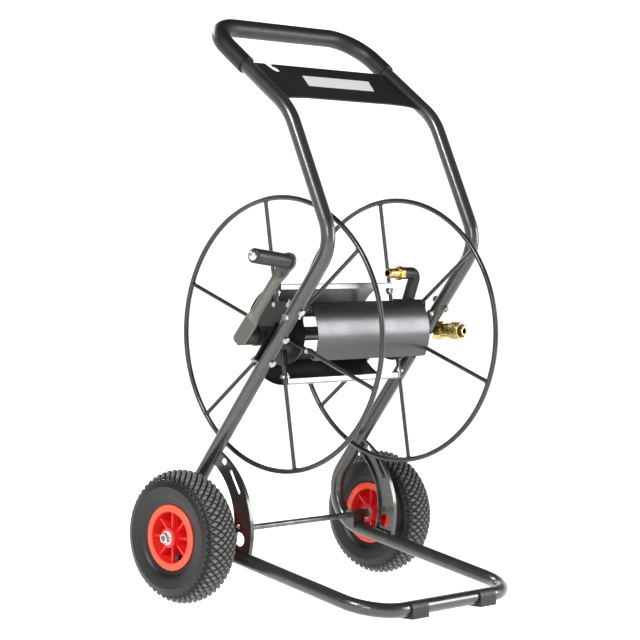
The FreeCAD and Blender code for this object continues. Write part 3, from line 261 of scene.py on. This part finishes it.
def bead(paths, thick, name, ripple=0.0026):
    """Weld beads as round bars carried along polylines. At a distance s along a line of length L, the bar's
    radius is thick (1 + 0.16 cos(2 pi s / ripple)), and it closes at both ends as the root of
    1 - (2 s / L - 1)^8."""
    made = []
    around = np.linspace(0, 2 * np.pi, 10, endpoint=False)
    for path in paths:
        path = np.asarray(path, float)
        steps = np.linalg.norm(np.diff(path, axis=0), axis=1)
        gone = np.concatenate([[0], np.cumsum(steps)])
        count = max(8, int(gone[-1] / ripple * 6))
        s = np.linspace(0, gone[-1], count)
        line = np.stack([np.interp(s, gone, path[:, k]) for k in range(3)], -1)
        ahead = np.gradient(line, axis=0)
        ahead /= np.linalg.norm(ahead, axis=1)[:, None]
        helper = np.where(np.abs(ahead[:, :1]) < 0.8, [[1.0, 0, 0]], [[0, 0, 1.0]])
        one = np.cross(ahead, helper)
        one /= np.linalg.norm(one, axis=1)[:, None]
        two = np.cross(ahead, one)
        ends = np.sqrt(np.clip(1 - (2 * s / gone[-1] - 1) ** 8, 0.0004, 1))
        radius = thick * ends * (1 + 0.16 * np.cos(2 * np.pi * s / ripple))
        rings = np.cos(around)[None, :, None] * one[:, None] + np.sin(around)[None, :, None] * two[:, None]
        made.append(line[:, None] + radius[:, None, None] * rings)
    vertices, faces, base = [], [], 0
    for grid in made:
        rows, columns = grid.shape[:2]
        number = base + np.arange(rows * columns).reshape(rows, columns)
        number = np.hstack([number, number[:, :1]])
        quads = np.stack([number[:-1, :-1], number[1:, :-1], number[1:, 1:], number[:-1, 1:]], -1)
        faces += quads.reshape(-1, 4).tolist()
        faces.append(number[0, :-1].tolist())
        faces.append(number[-1, :-1][::-1].tolist())
        vertices.append(grid.reshape(-1, 3))
        base += rows * columns
    mesh = bpy.data.meshes.new(name)
    mesh.from_pydata(np.concatenate(vertices).tolist(), [], faces)
    mesh.shade_smooth()
    piece = bpy.data.objects.new(name, mesh)
    bpy.context.scene.collection.objects.link(piece)
    return piece


# Corners of the frame's centre lines, as (y, z) from the wheel axle's y and the floor.
heel = np.array([0.113, 0.128])
toe = np.array([-0.434, 0.018])
leg_rise = np.array([-0.441, 0.571])


def on_leg(x, along, back):
    """Point beside a leg: along it from the heel corner, and back from its centre line."""
    up = leg_rise / np.hypot(*leg_rise)
    y, z = heel + up * along + np.array([up[1], -up[0]]) * back
    return (middle_x + x, axle_y + y, z)


def on_rail(x, y):
    """Point on the top of a rail, which falls from the heel corner to the toe, sunk by 0.3 mm."""
    slope = (heel[1] - toe[1]) / (heel[0] - toe[0])
    top = heel[1] + (y - heel[0]) * slope + tube_r * np.hypot(1, slope)
    return (middle_x + x, axle_y + y, top - 0.0003)


for side, sign in (("near", -1), ("far", 1)):
    out, inside = sign * (leg_x + 0.0026), sign * (leg_x - 0.0068)
    seams = [
        [on_rail(out, -0.057), on_rail(out, -0.101)],
        [on_rail(inside, -0.057), on_rail(inside, -0.101)],
        [on_leg(out, 0.184, -tube_r), on_leg(out, 0.206, -tube_r)],
        [on_leg(inside, 0.184, -tube_r), on_leg(inside, 0.204, -tube_r)],
    ]
    piece = bead(seams, 0.0016, "gusset_welds_" + side)
    piece.data.materials.append(graphite)
    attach(piece, "frame")


# ---------------------------------------------------------------- cross plate and its blank panel
# A sheet-steel plate is stitched by short welds between the handle's arms; a hook slot opens in its top
# edge. It has its own satin near-black coat, and carries a plain white film panel.

dark, where = material("black powder coat")
grain = where.noise(5, 3.0)
shade(
    dark,
    Base_Color=grain.within(0.35, 0.65).blend((0.010, 0.0085, 0.0075), (0.017, 0.014, 0.0125)),
    Roughness=where.noise(26, 4.0).within(0.3, 0.7, 0.34, 0.46),
    Normal=where.noise(520, 2.0).relief(0.03),
)
finish(dark, "cross_plate")

white, where = material("blank white film")
tone = where.noise(12, 2.0).within(0.3, 0.7)
shade(white, Base_Color=tone.blend((0.84, 0.85, 0.84), (0.88, 0.88, 0.87)), Roughness=0.3)
finish(white, "label_panel")


shoulder = np.array([-0.215, 0.952])
arm_rise = np.array([0.227, 0.174])
plate_face, stitch_length = 0.0021, 0.016


def on_arms(x, along, out):
    """Point beside the plane of the handle's arms: along it from the shoulder corner, and out from it."""
    up = arm_rise / np.hypot(*arm_rise)
    y, z = shoulder + up * along + np.array([-up[1], up[0]]) * out
    return (middle_x + x, axle_y + y, z)


stitches = []
for sign in (-1, 1):
    for face in (-plate_face, plate_face):
        for start in (0.052, 0.088, 0.122):
            x = sign * (leg_x - tube_r + 0.0002)
            stitches.append([on_arms(x, start, face), on_arms(x, start + stitch_length, face)])
piece = bead(stitches, 0.0014, "plate_welds")
piece.data.materials.append(dark)
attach(piece, "frame")


# ---------------------------------------------------------------- handle sleeve
# One foam rubber sleeve is drawn over the crossbar and down both arms. It is matt, with a fine closed-cell
# grain and a few lighter scuffs.

foam, where = material("foam rubber")
cells = where.noise(900, 2.0)
scuff = where.noise(24, 5.0, 0.7).within(0.6, 0.8)
shade(
    foam,
    Base_Color=scuff.blend((0.010, 0.010, 0.0105), (0.022, 0.022, 0.023)),
    Roughness=cells.within(0.3, 0.7, 0.38, 0.52),
    Normal=cells.relief(0.06),
)
finish(foam, "handle_sleeve")


# ---------------------------------------------------------------- reel bearings
# A folded angle behind each leg carries a flanged plastic bush for the reel's pipe. Bolts and screws are
# zinc plated, dulled and a little uneven.

finish(dark, "bearing_bracket_near", "bearing_bracket_far")

black, where = material("black moulding")
mottle = where.noise(60, 3.0)
shade(
    black,
    Base_Color=mottle.within(0.3, 0.7).blend((0.009, 0.009, 0.0095), (0.016, 0.016, 0.017)),
    Roughness=mottle.within(0.3, 0.7, 0.36, 0.5),
    Normal=where.noise(700, 2.0).relief(0.02),
)
finish(black, "bearing_bush_near", "bearing_bush_far", "pipe_plug", "swivel_seals", "inlet_seal")

zinc, where = material("zinc plate")
spangle = where.noise(240, 3.0)
shade(
    zinc,
    Base_Color=spangle.within(0.3, 0.7).blend((0.50, 0.50, 0.47), (0.74, 0.74, 0.71)),
    Metallic=1.0,
    Roughness=spangle.within(0.3, 0.7, 0.24, 0.4),
)
finish(zinc, "joint_bolts", "bracket_bolts", "web_screws")


# ---------------------------------------------------------------- reel hoops, spokes and hub discs
# Each flange is a 10 mm wire hoop with six 8 mm spokes welded to it and to a plate hub disc, whose boss is
# welded round the pipe. All of it is black powder coated over the weld ripples.

wire, where = material("black coated wire")
shade(
    wire,
    Base_Color=where.noise(60, 3.0).within(0.35, 0.7).blend((0.011, 0.0115, 0.011), (0.021, 0.022, 0.021)),
    Roughness=where.noise(34, 3.0).within(0.3, 0.7, 0.26, 0.38),
    Coat_Weight=0.4,
    Coat_Roughness=0.12,
    Normal=where.noise(500, 2.0).relief(0.03),
)
finish(wire, "reel_rim_near", "reel_rim_far", "spokes_near", "spokes_far", "hub_disc_near", "hub_disc_far")
finish(wire, "stop_collar_near", "stop_collar_far")

rod_r, spoke_r = 0.005, 0.004
spokes, first_spoke = 6, 38.7
disc_edge_r, boss_r, boss_length = 0.0222, 0.0139, 0.0241
weld_r = 1.08 * spoke_r
turn_round = np.linspace(0, 2 * np.pi, 41)
for side, sign in (("near", -1), ("far", 1)):
    low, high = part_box("reel_rim_" + side)
    centre = np.array((low + high) / 2)
    hoop_r = (high.z - low.z) / 2 - rod_r
    face = centre[0] - sign * spoke_r
    welds = []
    for number in range(spokes):
        angle = np.radians(first_spoke + 360 / spokes * number)
        radial = np.array([0, -np.cos(angle), np.sin(angle)])
        tangent = np.array([0, np.sin(angle), np.cos(angle)])
        # The ring round the spoke's end follows the hoop's section: reach is hoop_r - root(rod_r^2 - x^2).
        side_x = weld_r * np.cos(turn_round)
        reach = hoop_r - np.sqrt(rod_r**2 - np.clip(np.abs(side_x), 0, 0.92 * rod_r) ** 2) - 0.0004
        ring = centre + reach[:, None] * radial + (weld_r * np.sin(turn_round))[:, None] * tangent
        ring[:, 0] += side_x
        welds.append(ring)
        for edge in (-0.0034, 0.0034):
            ends = [centre + radial * r + tangent * edge for r in (0.034, 0.057)]
            for end in ends:
                end[0] = face + sign * 0.0008
            welds.append(ends)
    for radius, out in ((disc_edge_r, 0.0006), (boss_r, boss_length)):
        x = np.full(len(turn_round), face + sign * out)
        y = centre[1] + radius * np.cos(turn_round)
        z = centre[2] + radius * np.sin(turn_round)
        welds.append(np.stack([x, y, z], -1))
    piece = bead(welds, 0.0012, "reel_welds_" + side, ripple=0.0019)
    piece.data.materials.append(wire)
    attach(piece, "reel")
    if side == "near":
        reel_centre = centre


# ---------------------------------------------------------------- drum sheets
# Three pressed sheets, lipped along both edges, are screwed between the flanges to make an open drum. They
# are coated in a silvery graphite; the lips are painted paler as a painted highlight for their reflection,
# and the inside faces darker as painted shade.

silver, where = material("silver graphite coat")
from_axis = where.node("Mapping", {}, {"Vector": where, "Location": (0.0, -reel_centre[1], -reel_centre[2])})
from_axis = from_axis.node("VectorMath", {"operation": "MULTIPLY"}, {0: from_axis, 1: (0.0, 1.0, 1.0)})
reach = from_axis.node("VectorMath", {"operation": "LENGTH"}, {0: from_axis}, out=1)
fleck = where.noise(1500, 1.0).within(0.35, 0.65)
skin = fleck.blend((0.052, 0.054, 0.057), (0.092, 0.095, 0.099))
# Painted highlight: the lips get a paler colour that stands in for the reflection along them.
painted_lip_highlight = fleck.blend((0.17, 0.175, 0.18), (0.26, 0.265, 0.27))
# Painted shade: the sheets' inside faces get a darker colour for the shade inside the drum.
inside = reach.within(0.0968, 0.0975).blend((0.022, 0.023, 0.024), skin)
rubbed = where.noise(30, 5.0, 0.7)
shade(
    silver,
    Base_Color=reach.within(0.0952, 0.0960).blend(painted_lip_highlight, inside),
    Metallic=0.85,
    Roughness=rubbed.within(0.3, 0.7, 0.27, 0.36),
    Coat_Weight=0.25,
    Coat_Roughness=0.22,
    Normal=where.noise(420, 2.0).relief(0.02),
)
finish(silver, "drum_sheet_front", "drum_sheet_rear", "drum_sheet_bottom")
finish(zinc, "sheet_screws")


# ---------------------------------------------------------------- reel pipe, tee, neck and nipple
# The steel pipe carries the reel and, in its far half, the water. A black moulded saddle tee and swan neck
# lead out to a brass nipple for the reeled hose.

finish(graphite, "axle_pipe")
finish(black, "outlet_tee", "outlet_neck")

brass, where = material("turned brass")
turned = where.noise(150, 3.0)
shade(
    brass,
    Base_Color=where.noise(70, 4.0).within(0.3, 0.75).blend((0.70, 0.55, 0.20), (0.44, 0.32, 0.10)),
    Metallic=1.0,
    Roughness=turned.within(0.3, 0.7, 0.2, 0.36),
    Normal=turned.relief(0.02),
)
finish(brass, "outlet_nipple", "inlet_elbow", "inlet_body")


# ---------------------------------------------------------------- union nut
# The union nut is turned brass, bored to ride on the inlet's stub, with a crossed knurl for the fingers
# between two plain bands.

low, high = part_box("union_nut")
nut_middle, nut_r = (low + high) / 2, (high.z - low.z) / 2
back, front = high.y, low.y


def knurled_nut():
    """A closed section of (y, radius) stations turned round the inlet's axis. Between the plain bands it
    sinks by 0.7 mm times what the larger of the saws 2 |frac(u + v) - 1/2| and 2 |frac(u - v) - 1/2| has
    over 0.35, where u is teeth round the nut and v is teeth along it."""
    around, stations, teeth, tooth_length = 360, 60, 60, 0.0021
    edge, groove_at, knurl_depth = 0.0009, 0.0040, 0.0007
    thread_r, collar_r, collar_depth = 0.0133, 0.00885, 0.0047
    angle = np.linspace(0, 2 * np.pi, around, endpoint=False)
    y = np.linspace(back, front, stations)
    chamfer = edge * np.clip(1 - np.minimum(back - y, y - front) / edge, 0, 1)
    u = (np.arange(around) / around * teeth)[:, None]
    v = ((y - front) / tooth_length)[None, :]
    saw = np.maximum(np.abs((u + v) % 1 - 0.5), np.abs((u - v) % 1 - 0.5)) * 2
    knurl = ((back - y > 0.0035) & (y - front > 0.0042))[None, :]
    groove = np.exp(-((y - front - groove_at) / 0.0005) ** 2) * knurl_depth
    outer = nut_r - chamfer[None, :] - knurl_depth * (saw - 0.35).clip(0) * knurl - groove[None, :]
    ledge = back - collar_depth
    inner = np.array([(front, thread_r), (ledge, thread_r), (ledge, collar_r), (back, collar_r)])
    radius = np.hstack([outer, np.broadcast_to(inner[:, 1], (around, len(inner)))])
    depth = np.broadcast_to(np.concatenate([y, inner[:, 0]]), radius.shape)
    sine, cosine = np.sin(angle)[:, None], np.cos(angle)[:, None]
    points = np.stack([nut_middle.x + radius * sine, depth, nut_middle.z + radius * cosine], -1)
    return surface("knurled_union_nut", points, closed=(True, True))


piece = knurled_nut()
piece.data.materials.append(brass)
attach(piece, "union_nut")
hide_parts("union_nut")


# ---------------------------------------------------------------- crank
# The arm is a tube pressed flat at both ends, clamped to the pipe through a welded socket. Its paint is a
# satin grey-green metallic. The grip is a black moulding that turns on a bolt.

khaki, where = material("grey-green metallic paint")
speck = where.noise(1700, 1.0)
wear = where.noise(45, 5.0, 0.7).within(0.62, 0.8, 0.0, 0.5)
tone = speck.within(0.38, 0.64).blend((0.085, 0.090, 0.074), (0.150, 0.155, 0.130))
shade(
    khaki,
    Base_Color=wear.blend(tone, (0.20, 0.20, 0.175)),
    Metallic=0.6,
    Roughness=where.noise(16, 3.0).within(0.3, 0.7, 0.34, 0.46),
    Coat_Weight=0.35,
    Coat_Roughness=0.2,
    Normal=where.noise(420, 2.0).relief(0.03),
)
finish(khaki, "crank_arm")
finish(dark, "crank_hub")
finish(black, "crank_grip")
finish(zinc, "crank_bolt", "grip_bolt")


# ---------------------------------------------------------------- tyres
# The pneumatic tyres are black rubber with a tread of small diamond blocks and radial bars on the shoulder.
# The blocks' upper faces are painted paler than the grooves, a painted highlight for the light on them, and
# the sidewalls carry a fine moulded ring.

rubber, where = material("tyre rubber")
painted_top_light = where.node("Attribute", {"attribute_name": "painted_top_light"}, out=2)
patch = where.noise(55, 4.0, 0.6)
# Painted highlight: the upper faces of the tread blocks are paler where light falls on them, varied by a
# cloudy noise.
painted_light_on_tops = painted_top_light.within(0.35, 0.9) * patch.within(0.25, 0.75, 0.65, 1.0)
shade(
    rubber,
    Base_Color=painted_light_on_tops.blend((0.006, 0.006, 0.0062), (0.17, 0.17, 0.163)),
    Roughness=painted_light_on_tops.within(0.0, 1.0, 0.42, 0.78),
    Normal=where.noise(650, 2.0).relief(0.05),
)
finish(rubber, "tyre_near", "tyre_far", "valve_near", "valve_far")


def tyre(name, centre_x, axle_z, y):
    """A closed sweep of the tyre's section round the axle, in millimetres until the last step. Outside, the
    section is a smooth curve through (x, radius) stations. On the tread it sinks by the groove's depth
    wherever one of two slanting families of lines passes, u + v and u - v whole, where u is pitches round the
    wheel and v is pitches across it. On the shoulder it sinks between bars, at u + 1/2 whole."""
    pitches, per_pitch, across_stations = 54, 14, 60
    pitch_width, groove_depth = 16.5, 4.2
    tread_from_r, lattice_to_x, bars_from_x, bars_cut_x = 109.5, 36, 32, 34
    rib_r, bead_groove_r = 99, 72
    stations = np.array([
        (29.4, 57), (30.6, 64), (35.5, 72), (39.2, 80), (40.9, 88),
        (41.9, 94), (42.2, 98), (41.4, 103), (39.0, 109), (35.6, 114.2),
        (31.0, 118.8), (25.0, 123.6), (18, 127.6), (9, 129.4), (0, 130),
    ])
    station = np.linspace(0, len(stations) - 1, across_stations)
    half = np.stack([np.interp(station, range(len(stations)), stations[:, k]) for k in (0, 1)], -1)
    for _ in range(3):
        half[1:-1] = (half[:-2] + 2 * half[1:-1] + half[2:]) / 4
    outside = np.concatenate([half, (half * (-1, 1))[-2::-1]])
    inside = np.array([
        (-20, 60), (-29, 80), (-31, 100), (-22, 113), (0, 117), (22, 113), (31, 100), (29, 80), (20, 60),
    ])
    angle = np.linspace(0, 2 * np.pi, pitches * per_pitch, endpoint=False)
    u = (np.arange(pitches * per_pitch) / per_pitch)[:, None]
    v = (outside[:, 0] / pitch_width)[None, :]

    def line(value):
        """1 in a groove, where the value is whole, falling to 0 on the blocks."""
        return np.clip((0.19 - np.abs(value - np.round(value))) / 0.07, 0, 1)

    tread = np.clip((outside[:, 1] - tread_from_r) / 2.0, 0, 1)[None, :]
    lattice = np.maximum(line(u + v), line(u - v)) * (np.abs(outside[:, 0]) < lattice_to_x)[None, :]
    bars = line(u + 0.5) * (np.abs(outside[:, 0]) >= bars_from_x)[None, :]
    sunk = np.maximum(lattice, bars)
    depth = groove_depth * tread * sunk
    # The sidewall has a moulded ring standing out at rib_r and a wider hollow at bead_groove_r.
    ribs = np.exp(-((outside[:, 1] - rib_r) / 1.6) ** 2)
    ribs -= 1.6 * np.exp(-((outside[:, 1] - bead_groove_r) / 3.0) ** 2)
    radius = outside[None, :, 1] - depth
    x = outside[None, :, 0] - np.sign(outside[None, :, 0]) * (
        0.35 * depth * (np.abs(outside[:, 0]) > bars_cut_x) + 0.8 - ribs[None, :] * 0.8)
    x = np.where(np.abs(outside[None, :, 0]) < 1.0, outside[None, :, 0], x)
    radius = np.hstack([radius, np.broadcast_to(inside[:, 1], (len(angle), len(inside)))])
    x = np.hstack([x, np.broadcast_to(inside[:, 0], (len(angle), len(inside)))])
    sine, cosine = np.sin(angle)[:, None], np.cos(angle)[:, None]
    points = np.stack([centre_x + x / 1000, y + radius * sine / 1000, axle_z + radius * cosine / 1000], -1)
    piece = surface(name, points, closed=(True, True))
    # Marks the upper faces of the tread blocks, which carry the painted highlight.
    top_light_mask = np.zeros(radius.shape)
    top_light_mask[:, :len(outside)] = tread * (1 - sunk) * np.clip((outside[None, :, 1] - 112) / 9, 0, 1)
    layer = piece.data.attributes.new("painted_top_light", "FLOAT", "POINT")
    layer.data.foreach_set("value", top_light_mask.ravel())
    return piece


for side in ("near", "far"):
    low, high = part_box("tyre_" + side)
    middle = (low + high) / 2
    piece = tyre("tread_tyre_" + side, middle.x, middle.z, middle.y)
    piece.data.materials.append(rubber)
    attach(piece, side + "_wheel")
    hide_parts("tyre_" + side)


# ---------------------------------------------------------------- wheel rims, axle and its hardware
# The rims are one-piece red mouldings, with a flat flange round a ribbed dish and zinc hub bushes. The flat
# flange is painted a paler orange red than the dish, a painted highlight for the light it catches. The axle
# is plain drawn bar, held by nuts and washers.

red, where = material("red moulding")
low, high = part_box("wheel_rim_far")
axle_place = (low + high) / 2
moved = where.node("Mapping", {}, {"Vector": where, "Location": (0.0, -axle_place.y, -axle_place.z)})
flat = moved.node("VectorMath", {"operation": "MULTIPLY"}, {0: moved, 1: (0.0, 1.0, 1.0)})
reach = flat.node("VectorMath", {"operation": "LENGTH"}, {0: flat}, out=1)
# Painted highlight: the flat flange beyond the dish is coloured paler and more orange for the light falling
# on it.
lit_flange_and_dish_tone = reach.within(0.049, 0.053).blend((0.74, 0.016, 0.018), (0.92, 0.080, 0.030))
soil = where.noise(48, 5.0, 0.7).within(0.58, 0.8, 0.0, 0.45)
shade(
    red,
    Base_Color=soil.blend(lit_flange_and_dish_tone, (0.46, 0.022, 0.016)),
    Roughness=where.noise(30, 3.0).within(0.3, 0.7, 0.3, 0.44),
    Normal=where.noise(260, 2.0).relief(0.03),
)
finish(red, "wheel_rim_near", "wheel_rim_far")
finish(zinc, "hub_bearings_near", "hub_bearings_far", "axle_washers", "axle_nuts")

steel, where = material("dull drawn steel")
drawn = where.node("VectorMath", {"operation": "MULTIPLY"}, {0: where, 1: (1.0, 40.0, 40.0)}).noise(18, 3.0)
shade(
    steel,
    Base_Color=where.noise(40, 4.0).within(0.3, 0.7).blend((0.10, 0.105, 0.10), (0.22, 0.225, 0.215)),
    Metallic=0.9,
    Roughness=drawn.within(0.3, 0.7, 0.3, 0.46),
)
finish(steel, "wheel_axle", "wheel_spacers")


# ---------------------------------------------------------------- feet
# Two black moulded clips snap round the toe bar and stand on the floor.

finish(black, "foot_clip_near", "foot_clip_far")
